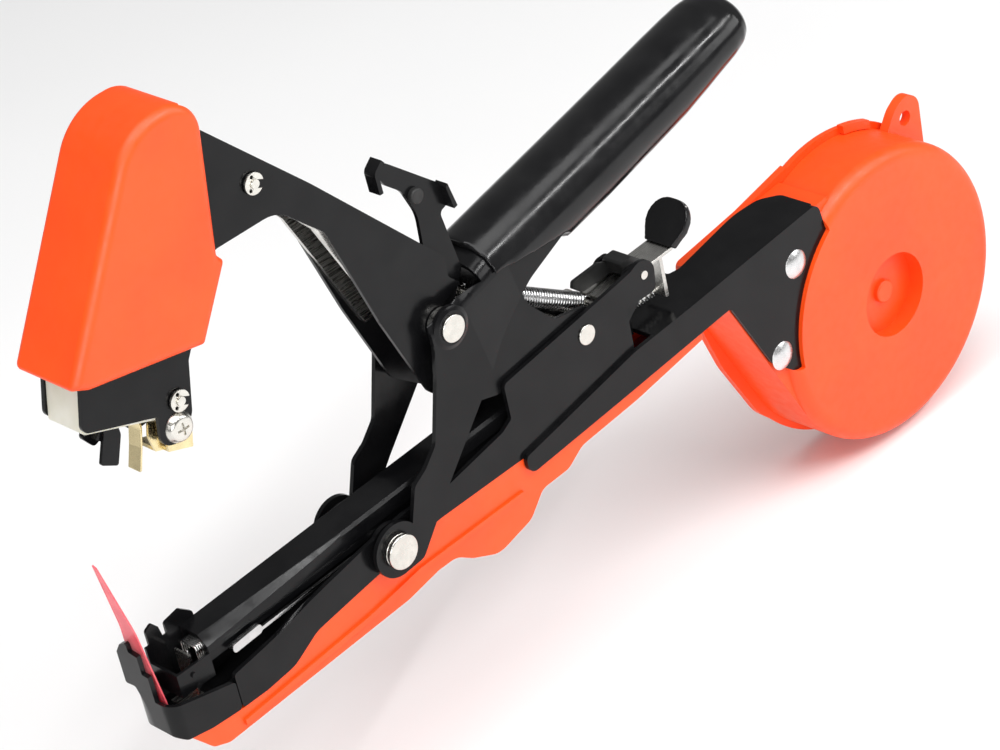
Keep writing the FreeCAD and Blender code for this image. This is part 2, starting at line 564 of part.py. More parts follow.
def pusher_slide():
    """Flat steel strip with the end plate that the rod is fixed to."""
    strip = magazine_span(12.0, STRIP_BEND, STRIP_DROP + 0.9, STRIP_DROP, -4.4, 4.4)
    end_plate = box(34.0, 35.2, -4.4, 4.4, -9.2, magazine_line(34.0) + STRIP_DROP + 0.5)
    bend = (STRIP_BEND, magazine_line(STRIP_BEND) + STRIP_DROP)
    tongue = box(STRIP_BEND, STRIP_BEND + 12.2, -4.4, 4.4, bend[1], bend[1] + 0.9)
    shape = strip.fuse([end_plate, tilted(tongue, PADDLE_DEG, bend)]).removeSplitter()
    return shape.cut(rod_x(1.0, PUSHER_X, 40.0))


def thumb_paddle():
    """Dipped vinyl pad on the end of the strip."""
    x, z = STRIP_BEND, magazine_line(STRIP_BEND) + STRIP_DROP
    pad = plan([(x + 0.4, -5.0), (x + 0.4, 5.0), (x + 5.8, 7.2, 4), (x + 13.2, 6.6, 6.2),
                (x + 13.2, -6.6, 6.2), (x + 5.8, -7.2, 4)], z - 0.7, z + 1.6)
    pad = pad.cut(box(x - 0.2, x + 12.4, -4.45, 4.45, z - 0.02, z + 0.92))
    return tilted(pad, PADDLE_DEG, (x, z))


def pivot_sleeve():
    """Sleeve on the magazine pin, with a keeper bar and a cap that hold the strip down."""
    tube = rod_y(PIVOT_M, 2.0, -MAGAZINE_HALF, MAGAZINE_HALF)
    keeper = plate([(22.4, 3.6), (10.8, 3.6), (7.8, 6.4, 0.6), (8.4, 8.2, 0.8), (18.2, 8.6, 1), (22.4, 6.8)],
                   1.8, 2.8)
    cap = plate([(21.2, 5.6), (20.6, 8.6, 0.8), (25.0, 8.8, 1.5), (28.6, 5.6, 0.8), (27.8, 4.6), (25.0, 5.6)],
                -4.2, 2.8)
    return tube.fuse([keeper, cap]).removeSplitter().cut(rod_y(PIVOT_M, PIN_M + PIN_GAP, -20, 20))


# ---------------------------------------------------------------- clincher arm
def swing(point, about, degrees):
    """Point of the X-Z plane turned about a centre, counter-clockwise with Z up."""
    angle = math.radians(degrees)
    x, z = point[0] - about[0], point[1] - about[1]
    return (about[0] + x * math.cos(angle) - z * math.sin(angle),
            about[1] + x * math.sin(angle) + z * math.cos(angle))


def slot_point(t):
    """Where pin B lies in the arm's own frame when the handle has gone t of its travel."""
    moved = swing(PIVOT_B, PIVOT_C, -HANDLE_DEG * t)
    return swing(moved, (0, 0), -CLOSING_DEG * t)


def cam_slot(y0, y1):
    """Slot that pin B runs through, swept along its path."""
    steps = 8
    radius = PIN_B + 0.25
    shape = rod_y(slot_point(0), radius, y0, y1)
    for i in range(steps):
        a, b = V(*slot_point(i / steps), 0), V(*slot_point((i + 1) / steps), 0)
        side = (b - a).normalize() * radius
        run = [(a.x + side.y, a.y - side.x), (b.x + side.y, b.y - side.x),
               (b.x - side.y, b.y + side.x), (a.x - side.y, a.y + side.x)]
        shape = shape.fuse([plate(run, y0, y1), rod_y((b.x, b.y), radius, y0, y1)])
    return shape


ARM_TOP = [
    (-150.8, 58.9, 2.2), (-147.2, 72.0, 4), (-121.5, 112.0, 10), (-104.0, 117.6, 8),
    (-72.3, 83.6, 60), (-38.0, 44.2, 1.5), (-38.6, 38.8, 2), (-33.0, 33.0, 3),
]
ARM_REAR = [
    (-24.0, 33.8, 2), (-18.6, 31.0, 3), (-15.9, 18.0, 8), (-8.0, 8.8, 4), (5.4, 6.2, 5), (6.0, -6.2, 5),
    (-32.0, -0.6, 12), (-39.0, 1.4, 8),
]
ARM_UNDER = [
    (-52.6, 12.4, 4), (-62.0, 38.0, 40), (-71.6, 69.6, 4), (-83.5, 81.8, 10), (-103.6, 82.0, 3),
    (-118.0, 60.2, 2), (-120.9, 47.6, 3.5), (-124.6, 41.4, 4.2), (-131.6, 43.6, 3.2),
    (-130.3, 51.5, 0.8),
]


def clincher_arm():
    """Inverted channel from the pivot to the head; its plates run down as the head's sides."""
    outline = ARM_TOP + ARM_REAR + ARM_UNDER
    wall = plate(outline, ARM_IN, ARM_OUT)
    solid = plate(outline, -ARM_IN, ARM_IN)
    lowered = solid.copy()
    lowered.translate(V(-0.86, 0, -0.94))
    web = solid.cut(lowered).common(plate([(-110.0, 130.0), (-35.0, 52.0), (-45.0, 40.0), (-125.0, 95.0)],
                                          -ARM_IN, ARM_IN))
    web = web.cut(box(-62.0, -35.0, HOOK_NEAR - 0.5, HOOK_FAR + 0.5, 30.0, 80.0))
    shape = both(wall).fuse(web).removeSplitter()
    shape = shape.cut(cam_slot(-20, 20))
    shape = shape.cut(rod_y((0, 0), PIN_A + PIN_GAP, -20, 20))
    for centre in (SCREW, CATCH_PIN, ARM_CLIP_PIN, SPRING_FRONT):
        shape = shape.cut(rod_y(centre, SCREW_R if centre == SCREW else SMALL_PIN, -20, 20))
    return shape


def arm_liner():
    """Inner stiffening channel whose lower edges show bright under the arm."""
    outline = [(-98.0, 84.5), (-84.0, 84.0, 8), (-73.6, 71.0, 4), (-57.0, 32.0), (-50.0, 34.0),
               (-62.0, 66.0, 6), (-80.0, 88.0, 8), (-96.0, 95.0)]
    wall = plate(outline, ARM_IN - SHEET, ARM_IN).cut(rod_y(ARM_CLIP_PIN, SMALL_PIN, 0, 20))
    return wall, mirrored(wall)


COVER_SIDE = [
    (-152.3, 72.2, 1), (-119.6, 123.0, 17.5), (-98.4, 123.0, 8.6), (-104.6, 82.4, 1.2),
    (-103.0, 80.2, 0.8), (-114.4, 63.3, 0.8), (-147.4, 69.8, 2),
]


def head_cover():
    """Moulded cap over the head, open at the bottom and towards the arm."""
    outer = plate(COVER_SIDE, -COVER_OUT, COVER_OUT)
    crown = [e for e in outer.Edges if on_side(e) and middle_of(e).z > 84 and middle_of(e).x < -101]
    outer = outer.makeFillet(2.6, crown)
    inner = plate([(-151.6, 62.0), (-150.8, 72.6), (-119.0, 121.4, 16), (-100.0, 121.4, 7),
                   (-90.0, 105.0), (-90.0, 76.0), (-106.0, 60.0)],
                  -COVER_OUT + PLASTIC, COVER_OUT - PLASTIC)
    return outer.cut(inner.common(outer)).cut(rear_mouth())


def rear_mouth():
    """Opening in the cover's rear face that the arm comes out through."""
    return box(-112.0, -90.0, -ARM_OUT - 0.4, ARM_OUT + 0.4, 60.0, 117.6)


def on_side(edge):
    box_ = edge.BoundBox
    return box_.YLength < 0.01


def middle_of(edge):
    return edge.BoundBox.Center


def head_block():
    """Cream plastic block between the head's side plates."""
    outline = [(-150.2, 57.9, 1), (-147.0, 71.0, 2), (-139.0, 83.4), (-120.5, 83.4), (-120.5, 56.2, 1),
               (-129.0, 49.9, 1)]
    block = plate(outline, -ARM_IN, ARM_IN)
    channel = plate([(-146.4, 50.0), (-146.4, 68.0), (-141.0, 76.5, 2), (-122.0, 76.5), (-122.0, 50.0)],
                    -5.6, 5.6)
    block = block.cut(channel).cut(rod_y(CATCH_PIN, 2.1, -20, 20))
    return block.cut(rod_y(CLAW_PIN, SMALL_PIN, -20, 20))


def clincher_plate():
    """Brass plate that bends the staple's legs over, held up by the screw."""
    foot = plate([(-131.6, 41.5), (-122.6, 38.2), (-122.3, 39.0), (-131.3, 42.3)], -4.4, 3.5)
    upright = plate([(-131.6, 41.5), (-132.4, 46.0, 2), (-131.4, 49.6, 0.6), (-128.4, 48.4, 0.6),
                     (-128.8, 40.9)], -4.4, -3.6)
    tab = plate([(-129.4, 40.7), (-122.6, 38.3, 0.5), (-120.6, 46.0, 3), (-124.0, 50.4, 2),
                 (-128.6, 48.0, 3)], -ARM_IN, -ARM_IN + 0.8)
    join = plate([(-129.4, 40.7), (-122.6, 38.2), (-122.3, 39.0), (-129.1, 41.5)], -ARM_IN, -4.4)
    shape = foot.fuse([upright, tab, join]).removeSplitter()
    return shape.cut(rod_y(SCREW, SCREW_R, -20, 20))


def brass_finger():
    """Springy finger that the tape's end is gripped against."""
    return plate([(-136.4, 38.0), (-134.4, 43.6, 3), (-133.0, 48.4, 3), (-133.6, 58.0), (-133.0, 58.0),
                  (-132.4, 48.4, 3), (-133.8, 43.6, 3), (-135.8, 38.0)], -3.0, 1.6)


def clincher_screw():
    head = turned([(0, -ARM_OUT - 2.0), (3.0, -ARM_OUT - 1.6, 1.2), (4.05, -ARM_OUT), (0, -ARM_OUT)], SCREW)
    shank = rod_y(SCREW, SCREW_R, -ARM_OUT, ARM_OUT + 2.2)
    nut = rod_y(SCREW, 3.0, ARM_OUT, ARM_OUT + 2.2)
    x, z = SCREW
    deep = -ARM_OUT - 1.1
    cross = [box(x - 1.7, x + 1.7, -ARM_OUT - 3, deep, z - 0.3, z + 0.3),
             box(x - 0.3, x + 0.3, -ARM_OUT - 3, deep, z - 1.7, z + 1.7)]
    shape = head.fuse([shank, nut])
    return shape.cut(cross[0]).cut(cross[1]).removeSplitter()


def clip_pin(centre):
    """Plain pin through the arm with a groove for a clip at the near end."""
    return rod_y(centre, SMALL_PIN, -ARM_OUT - 1.6, ARM_OUT + 0.8)


def e_clip(centre):
    ring = rod_y(centre, 2.8, -ARM_OUT - 1.1, -ARM_OUT - 0.3)
    ring = ring.cut(rod_y(centre, SMALL_PIN, -20, 0))
    mouth = box(centre[0], centre[0] + 5, -20, 0, centre[1] - 1.0, centre[1] + 1.0)
    mouth.rotate(V(centre[0], 0, centre[1]), V(0, 1, 0), 25)
    lobes = [rod_y((centre[0] + 1.9 * math.cos(a), centre[1] + 1.9 * math.sin(a)), 0.45, -20, 0)
             for a in (math.radians(100), math.radians(220))]
    return ring.cut(mouth).cut(lobes[0]).cut(lobes[1])


def tape_claw():
    """Black claw hung from a pin in the head; it catches the tape's end as the head comes down."""
    near = plate([(-146.6, 46.6, 0.6), (-142.2, 44.0, 0.6), (-139.2, 51.0, 2), (-139.6, 62.0), (-143.4, 62.0),
                  (-143.4, 54.0, 3)], -4.4, -3.4)
    far = plate([(-147.2, 53.2, 1.2), (-144.6, 49.4, 1.2), (-142.0, 50.4, 0.8), (-140.8, 55.0, 2),
                 (-139.6, 62.0), (-143.4, 62.0), (-144.4, 56.4, 2)], -0.4, 1.0)
    bridge = plate([(-145.6, 53.0), (-143.2, 50.6), (-141.6, 52.4), (-143.6, 54.8)], -3.6, 0)
    eye = rod_y(CLAW_PIN, 2.1, -4.4, 4.6)
    shape = near.fuse([far, bridge, eye]).removeSplitter()
    return shape.cut(rod_y(CLAW_PIN, SMALL_PIN + PIN_GAP, -20, 20))


def claw_pin():
    return rod_y(CLAW_PIN, SMALL_PIN, -ARM_IN, ARM_IN)


def catch_spring():
    """Torsion spring that holds the claw back, drawn as a ring with one leg."""
    ring = rod_y(CATCH_PIN, 2.9, 2.2, 4.2)
    leg = plate([(-137.6, 57.2), (-124.4, 55.5), (-124.4, 54.9), (-137.6, 56.6)], 2.8, 3.4)
    return ring.fuse(leg).removeSplitter().cut(rod_y(CATCH_PIN, 2.4, 0, 8))


# ---------------------------------------------------------------- handle
def grip_point(s, y, w):
    """Point s along the grip's axis frame, y across and w above its origin line."""
    cos, sin = math.cos(GRIP_RISE), math.sin(GRIP_RISE)
    return V(GRIP_START[0] + s * cos - w * sin, y, GRIP_START[1] + s * sin + w * cos)


def grip_xz(s, w, *radius):
    """Outline point in the X-Z plane, given in the grip's axis frame."""
    p = grip_point(s, 0, w)
    return (p.x, p.z) + radius


LEVER_OUTLINE = [
    (-67.2, -6.0, 3), (-62.6, -3.4, 4), (-58.0, 1.0, 4), (-52.8, 18.0, 20), (-51.2, 26.0, 4),
    (-51.4, 36.8, 6), (-33.6, 35.8, 1), grip_xz(-7.0, -6.0), grip_xz(-7.0, -3.0),
    grip_xz(86.0, -3.0), grip_xz(86.0, -16.4, 3), grip_xz(58.0, -18.6, 20), grip_xz(23.0, -19.4, 20),
    (-14.8, 25.8, 14), (-29.0, 16.2, 12), (-37.0, 8.0, 20), (-56.0, -11.2, 20), (-69.6, -26.4, 3),
    (-77.0, -26.9), PIVOT_C, (-70.6, -15.2),
]


def channel_solid(inset):
    """Filled shape of the handle's channel, which narrows into the grip; inset moves its faces in."""
    sections = []
    for s, half, top, radius in CHANNEL_STATIONS:
        side, crown = half - inset, top - inset
        outline = [(-side, -90.0 - inset), (-side, crown, radius - inset), (side, crown, radius - inset),
                   (side, -90.0 - inset)]
        sections.append(wire(outline, lambda y, w: grip_point(s, y, w)))
    return Part.makeLoft(sections, True, True)


def handle_lever():
    """Handle channel: two side plates from the pivot to the grip, joined by a rounded top."""
    silhouette = plate(LEVER_OUTLINE, -HEAD_OUT, HEAD_OUT)
    channel = channel_solid(0).cut(channel_solid(SHEET)).common(silhouette)
    open_front = plate([grip_xz(WEB_FRONT, 4.0), grip_xz(WEB_FRONT, -16.0), grip_xz(-60.0, -16.0),
                        grip_xz(-60.0, 4.0)], -LEVER_IN, LEVER_IN)
    channel = channel.cut(open_front)
    eyes = both(rod_y(PIVOT_C, 7.5, LEVER_IN, LEVER_OUT))
    face = LEVER_OUT + 0.5
    boss = turned([(5.8, LEVER_OUT), (4.6, face), (0, face), (0, LEVER_IN), (5.8, LEVER_IN)], PIVOT_B)
    shape = channel.fuse([eyes, both(boss)]).removeSplitter()
    shape = shape.cut(rod_y(PIVOT_C, PIN_C + PIN_GAP, -20, 20))
    return shape.cut(rod_y(PIVOT_B, PIN_B, -20, 20))


def grip_wire(s, half, middle, high):
    """Elliptical section of the grip."""
    curve = Part.BSplineCurve()
    turns = [2 * math.pi * i / GRIP_POINTS for i in range(GRIP_POINTS)]
    curve.interpolate([grip_point(s, half * math.cos(t), middle + high * math.sin(t)) for t in turns],
                      PeriodicFlag=True)
    return Part.Wire([curve.toShape()])


def handle_grip():
    """Dipped vinyl sleeve over the handle's channel, with finger waves underneath."""
    outer = Part.makeLoft([grip_wire(*station) for station in GRIP_STATIONS], True, True)
    cavity = channel_solid(0).common(plate(LEVER_OUTLINE, -HEAD_OUT, HEAD_OUT))
    mouth = plate([grip_xz(-9.0, -12.2), grip_xz(-1.0, -12.6), grip_xz(23.0, -19.2, 6), grip_xz(25.0, -32.0),
                   grip_xz(-9.0, -32.0)], -HEAD_OUT, HEAD_OUT)
    shape = outer.cut(cavity).cut(mouth)
    for s in WAVES:
        low = grip_xz(s, -25.3 - WAVE_R + WAVE_DEEP)
        shape = shape.cut(rod_y(low, WAVE_R, -HEAD_OUT, HEAD_OUT))
    return shape


def pin_b():
    face = LEVER_OUT + 0.5
    shank = rod_y(PIVOT_B, PIN_B, -face - 0.7, face + 0.7)
    heads = both(turned([(0, face), (3.7, face), (3.7, face + 0.7, 0.3), (0, face + 0.7)], PIVOT_B))
    return shank.fuse(heads).removeSplitter()


def pin_b_bush(side):
    """Flanged bush that spaces the handle's plate from the arm."""
    tube = rod_y(PIVOT_B, 4.4, ARM_OUT + GAP, LEVER_IN).cut(rod_y(PIVOT_B, PIN_B, 0, 20))
    return tube if side > 0 else mirrored(tube)


def lock_hook():
    """Hook on the same pin that latches the closed tool for storage."""
    side = plate([(-51.0, 73.2, 2), (-48.6, 76.4, 2), (-33.4, 62.6, 2), (-32.2, 55.8, 1), (-35.0, 55.0, 1.5),
                  (-34.2, 49.9, 10), (-32.2, 37.2, 3), (-37.0, 30.0, 3), (-41.0, 26.2), (-48.4, 28.8),
                  (-45.6, 38.0, 6), (-42.4, 48.8, 12), (-41.9, 58.0, 12), (-44.9, 66.1, 6), (-49.4, 70.2, 2)],
                 HOOK_NEAR, HOOK_FAR)
    nose = plate([(-51.6, 68.6), (-51.8, 74.6, 2), (-48.8, 77.0), (-48.0, 75.9), (-50.6, 73.9, 1.0),
                  (-50.4, 68.6)], HOOK_NEAR, -1.6)
    flange = plate([(-33.8, 62.2), (-33.0, 62.9), (-31.4, 55.9), (-32.6, 55.6)], -8.6, HOOK_FAR)
    eye = rod_y(PIVOT_B, 4.0, -6.0, -4.0)
    shape = side.fuse([nose, flange, eye]).removeSplitter()
    return shape.cut(rod_y(PIVOT_B, PIN_B + PIN_GAP, -20, 20))


def hook_button():
    """Rubber stop on the hook's near face."""
    return turned([(0, HOOK_NEAR - 1.6), (2.1, HOOK_NEAR - 1.6, 0.6), (2.1, HOOK_NEAR), (0, HOOK_NEAR)],
                  (-41.6, 63.4))


# ---------------------------------------------------------------- springs between the bodies
def return_spring():
    """Extension spring that opens the tool, drawn as its outer tube."""
    a = V(SPRING_FRONT[0], 0, SPRING_FRONT[1])
    b = V(SPRING_REAR[0], 0, SPRING_REAR[1])
    along = (b - a).normalize()
    body = Part.makeCylinder(SPRING_R, 34.0, a + along * 2.0, along)
    bore = Part.makeCylinder(SPRING_R - 1.0, 36.0, a + along * 1.0, along)
    return body.cut(bore)


def spring_hook_pin():
    """Cross pin in the arm that holds the return spring's front end."""
    return rod_y(SPRING_FRONT, SMALL_PIN, -ARM_OUT, ARM_OUT)


# ---------------------------------------------------------------- tape
def tape_roll():
    roll = rod_y(REEL, ROLL_R, -TAPE_WIDE / 2, TAPE_WIDE / 2)
    return roll.cut(rod_y(REEL, CORE_R, -20, 20))


def reel_core():
    core = rod_y(REEL, CORE_R, -TAPE_WIDE / 2, TAPE_WIDE / 2)
    return core.cut(rod_y(REEL, CORE_HOLE, -20, 20))


def tape_end():
    """Loose end of the tape standing up at the nose, cut to a point."""
    sheet = plate([(-149.3, -26.0), (-149.3, -2.0, 30), (-151.6, 17.5), (-151.2, 17.6),
                   (-148.9, -2.0, 30), (-148.9, -26.0)], -5.2, 5.2)
    waste = section([(6.0, 20.0), (-8.0, 20.0), (-8.0, -21.5), (-5.2, -21.5), (4.0, 17.0), (5.2, 17.6)],
                    -160, -140)
    return sheet.cut(waste).cut(front_nose())


def lead_tape():
    """Run of tape from the case along the trough's floor to the nose."""
    return band([(100.0, -13.9), (54.0, -17.2), (42.0, -21.2), (13.0, -26.0), (-9.0, -28.0), (-25.0, -31.0),
                 (-75.0, -33.6), (-137.0, -37.2)], 0.3, -TAPE_WIDE / 2, TAPE_WIDE / 2)


# ---------------------------------------------------------------- assembly
def build():
    add("base_frame", base_frame())
    add("front_nose", front_nose())
    add("driver_blade", driver_blade())
    add("tape_guide", tape_guide())
    add("rear_channel", rear_channel())
    add("case_rivets", *[case_rivet(c) for c in CASE_RIVETS])
    add("reel_case", reel_case())
    add("case_hinge_pin", case_hinge_pin())
    add("case_lid", case_lid())
    add("arm_pivot_pin", pivot_pin_a())
    add("handle_pivot_pins", pivot_pin_c(1), pivot_pin_c(-1))
    add("pivot_coils", pivot_coil(1), pivot_coil(-1))
    add("magazine_pivot_pin", magazine_pin())
    add("lift_spring", lift_spring())
    add("spring_anchor", spring_anchor())
    add("tape_end", tape_end())
    add("lead_tape", lead_tape())
    add("magazine", magazine())
    add("magazine_cover", magazine_cover())
    add("staple_gate", staple_gate())
    add("staple_stick", staple_stick())
    add("magazine_plug", magazine_rear_plug())
    add("pivot_sleeve", pivot_sleeve())
    add("pusher_block", pusher_block())
    add("pusher_spring", pusher_spring())
    add("pusher_rod", pusher_rod())
    add("buffer_spring", buffer_spring())
    add("pusher_slide", pusher_slide())
    add("thumb_paddle", thumb_paddle())
    add("clincher_arm", clincher_arm())
    add("arm_liner", *arm_liner())
    add("head_cover", head_cover())
    add("head_block", head_block())
    add("clincher_plate", clincher_plate())
    add("brass_finger", brass_finger())
    add("clincher_screw", clincher_screw())
    add("clip_pins", clip_pin(CATCH_PIN), clip_pin(ARM_CLIP_PIN))
    add("e_clips", e_clip(CATCH_PIN), e_clip(ARM_CLIP_PIN))
    add("tape_claw", tape_claw())
    add("claw_pin", claw_pin())
    add("catch_spring", catch_spring())
    add("handle_lever", handle_lever())
    add("handle_grip", handle_grip())
    add("link_pin", pin_b())
    add("link_bushes", pin_b_bush(1), pin_b_bush(-1))
    add("lock_hook", lock_hook())
    add("hook_button", hook_button())
    add("return_spring", return_spring())
    add("spring_hook_pin", spring_hook_pin())
    add("tape_roll", tape_roll())
    add("reel_core", reel_core())


def export():
    """Move every part so that the origin is at the bounding box's bottom centre, and save."""
    whole = Part.makeCompound(list(parts.values())).optimalBoundingBox(False)
    origin = V((whole.XMin + whole.XMax) / 2, (whole.YMin + whole.YMax) / 2, whole.ZMin)
    print("origin", origin, "size", whole.XLength, whole.YLength, whole.ZLength)
    os.makedirs("parts", exist_ok=True)
    for name, shape in parts.items():
        moved = shape.copy()
        moved.translate(-origin)
        moved.exportStep("parts/" + name + ".step")
        solids = shape.Solids
        print(name, "solids", len(solids), "valid", shape.isValid(),
              "volume", round(sum(s.Volume for s in solids), 1))


build()
export()
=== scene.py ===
"""Looks of the plant-tying plier stapler: materials, detailed pieces, camera and light. Metres."""

import json
import math

import bmesh
import bpy
from mathutils import Matrix, Vector


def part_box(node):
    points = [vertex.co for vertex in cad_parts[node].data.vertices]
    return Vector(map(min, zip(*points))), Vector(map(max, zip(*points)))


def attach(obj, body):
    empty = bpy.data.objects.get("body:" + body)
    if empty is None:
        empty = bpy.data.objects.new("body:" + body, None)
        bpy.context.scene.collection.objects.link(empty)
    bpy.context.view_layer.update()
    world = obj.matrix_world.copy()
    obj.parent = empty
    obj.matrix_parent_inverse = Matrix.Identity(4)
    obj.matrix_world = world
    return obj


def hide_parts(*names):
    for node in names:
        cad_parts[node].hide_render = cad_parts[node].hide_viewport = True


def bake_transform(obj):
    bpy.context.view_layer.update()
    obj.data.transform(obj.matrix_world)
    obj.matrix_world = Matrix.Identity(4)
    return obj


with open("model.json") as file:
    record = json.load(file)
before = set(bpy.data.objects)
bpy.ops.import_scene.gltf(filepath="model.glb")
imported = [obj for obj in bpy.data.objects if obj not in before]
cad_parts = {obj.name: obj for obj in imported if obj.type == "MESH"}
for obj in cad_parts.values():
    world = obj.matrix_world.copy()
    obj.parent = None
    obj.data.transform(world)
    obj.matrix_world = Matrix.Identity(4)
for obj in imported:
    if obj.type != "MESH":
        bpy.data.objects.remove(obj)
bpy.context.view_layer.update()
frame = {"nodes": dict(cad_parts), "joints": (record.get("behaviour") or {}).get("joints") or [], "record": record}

MM = 0.001
NODES = frame["nodes"]
JOINTS = {j["name"]: j for j in frame["joints"]}
ARM_PIVOT = Vector(JOINTS["clincher_swing"]["pos_m"])

# ---------------------------------------------------------------- places, in mm from the pivot


def at(x, y, z):
    """Point given in millimetres from the clincher arm's pivot, in the row frame."""
    return ARM_PIVOT + Vector((x, y, z)) * MM


# ---------------------------------------------------------------- material helpers
class Shader:
    """A material under construction: its nodes, and the Principled shader they feed."""

    def __init__(self, name, colour, rough, metal=0.0):
        self.material = bpy.data.materials.new(name)
        self.material.use_nodes = True
        self.nodes = self.material.node_tree.nodes
        self.links = self.material.node_tree.links
        self.bsdf = self.nodes["Principled BSDF"]
        self.set("Base Color", (*colour, 1.0))
        self.set("Roughness", rough)
        self.set("Metallic", metal)
        self.place = self.nodes.new("ShaderNodeTexCoord").outputs["Object"]

    def set(self, socket, value):
        self.bsdf.inputs[socket].default_value = value

    def link(self, output, socket):
        self.links.new(output, self.bsdf.inputs[socket])

    def stretched(self, scale):
        """Object coordinates scaled along each axis, for brushed or wound looks."""
        mapping = self.nodes.new("ShaderNodeMapping")
        mapping.inputs["Scale"].default_value = scale
        self.links.new(self.place, mapping.inputs["Vector"])
        return mapping.outputs["Vector"]

    def noise(self, size_mm, detail=3.0, vector=None):
        """Noise whose features are about size_mm across."""
        node = self.nodes.new("ShaderNodeTexNoise")
        node.inputs["Scale"].default_value = 1.0 / (size_mm * MM)
        node.inputs["Detail"].default_value = detail
        self.links.new(vector or self.place, node.inputs["Vector"])
        return node.outputs["Fac"]

    def ramp(self, factor, low, high, low_at=0.35, high_at=0.65):
        """Colour or grey ramp between two values."""
        node = self.nodes.new("ShaderNodeValToRGB")
        ends = node.color_ramp.elements
        for end, value, where in ((ends[0], low, low_at), (ends[1], high, high_at)):
            end.position = where
            end.color = (*value, 1.0) if hasattr(value, "__len__") else (value, value, value, 1.0)
        self.links.new(factor, node.inputs["Fac"])
        return node.outputs["Color"]

    def bump(self, height, depth_mm, strength=1.0):
        node = self.nodes.new("ShaderNodeBump")
        node.inputs["Distance"].default_value = depth_mm * MM
        node.inputs["Strength"].default_value = strength
        self.links.new(height, node.inputs["Height"])
        self.link(node.outputs["Normal"], "Normal")
        return node


def black_paint():
    """Satin baked paint: faint orange peel and cloudy gloss."""
    s = Shader("black_paint", (0.004, 0.004, 0.0045), 0.3)
    s.link(s.ramp(s.noise(9.0), (0.0035, 0.0035, 0.004), (0.006, 0.006, 0.0065)), "Base Color")
    s.link(s.ramp(s.noise(5.0, 5.0), 0.16, 0.27), "Roughness")
    s.set("Specular IOR Level", 0.2)
    s.bump(s.noise(0.9, 2.0), 0.02, 0.25)
    return s.material


def orange_plastic():
    """Moulded plastic in a vivid orange with a fine matt grain."""
    s = Shader("orange_plastic", (0.95, 0.072, 0.003), 0.42)
    s.link(s.ramp(s.noise(22.0), (0.93, 0.066, 0.003), (0.97, 0.078, 0.004)), "Base Color")
    s.link(s.ramp(s.noise(3.0, 4.0), 0.38, 0.5), "Roughness")
    s.bump(s.noise(0.45, 2.0), 0.02, 0.5)
    return s.material


def black_vinyl():
    """Dipped vinyl: glossy, with long soft ripples from the dipping."""
    s = Shader("black_vinyl", (0.006, 0.006, 0.0065), 0.16)
    s.link(s.ramp(s.noise(6.0, 4.0), 0.13, 0.24), "Roughness")
    s.link(s.ramp(s.noise(14.0), (0.005, 0.005, 0.0055), (0.009, 0.009, 0.0095)), "Base Color")
    s.set("Specular IOR Level", 0.3)
    s.bump(s.noise(7.0, 2.0), 0.12, 0.45)
    return s.material


def black_plastic():
    s = Shader("black_plastic", (0.012, 0.012, 0.012), 0.45)
    s.link(s.ramp(s.noise(4.0), 0.4, 0.52), "Roughness")
    s.bump(s.noise(0.4, 2.0), 0.015, 0.5)
    return s.material


def cream_plastic():
    s = Shader("cream_plastic", (0.72, 0.7, 0.6), 0.4)
    s.link(s.ramp(s.noise(8.0), (0.68, 0.66, 0.55), (0.75, 0.73, 0.64)), "Base Color")
    s.set("Subsurface Weight", 0.2)
    s.set("Subsurface Radius", (0.003, 0.0025, 0.0015))
    s.bump(s.noise(0.5, 2.0), 0.01, 0.5)
    return s.material


def grey_plastic():
    s = Shader("grey_plastic", (0.42, 0.42, 0.41), 0.5)
    s.link(s.ramp(s.noise(6.0), (0.38, 0.38, 0.37), (0.46, 0.46, 0.45)), "Base Color")
    s.bump(s.noise(0.5, 2.0), 0.01, 0.5)
    return s.material


def metal(name, colour, rough, grain, depth_mm=0.004):
    """Metal with a drawn or brushed grain; grain is the stretch along X, Y and Z."""
    s = Shader(name, colour, rough, 1.0)
    vector = s.stretched(grain)
    lines = s.noise(0.35, 3.0, vector)
    s.link(s.ramp(lines, max(rough - 0.07, 0.05), rough + 0.09), "Roughness")
    dull = tuple(c * 0.88 for c in colour)
    s.link(s.ramp(s.noise(2.5, 4.0), dull, colour), "Base Color")
    s.bump(lines, depth_mm, 0.5)
    return s.material


def tape_film():
    """Thin translucent film, slightly wrinkled."""
    s = Shader("tape_film", (0.95, 0.13, 0.17), 0.22)
    s.link(s.ramp(s.noise(5.0), (0.9, 0.1, 0.14), (1.0, 0.17, 0.2)), "Base Color")
    s.set("Transmission Weight", 0.35)
    s.set("Alpha", 0.82)
    s.set("IOR", 1.35)
    s.bump(s.noise(3.0, 2.0), 0.05, 0.4)
    return s.material


def rubber():
    s = Shader("rubber", (0.012, 0.012, 0.012), 0.6)
    s.link(s.ramp(s.noise(1.5), 0.52, 0.7), "Roughness")
    s.bump(s.noise(0.3, 3.0), 0.02, 0.6)
    return s.material


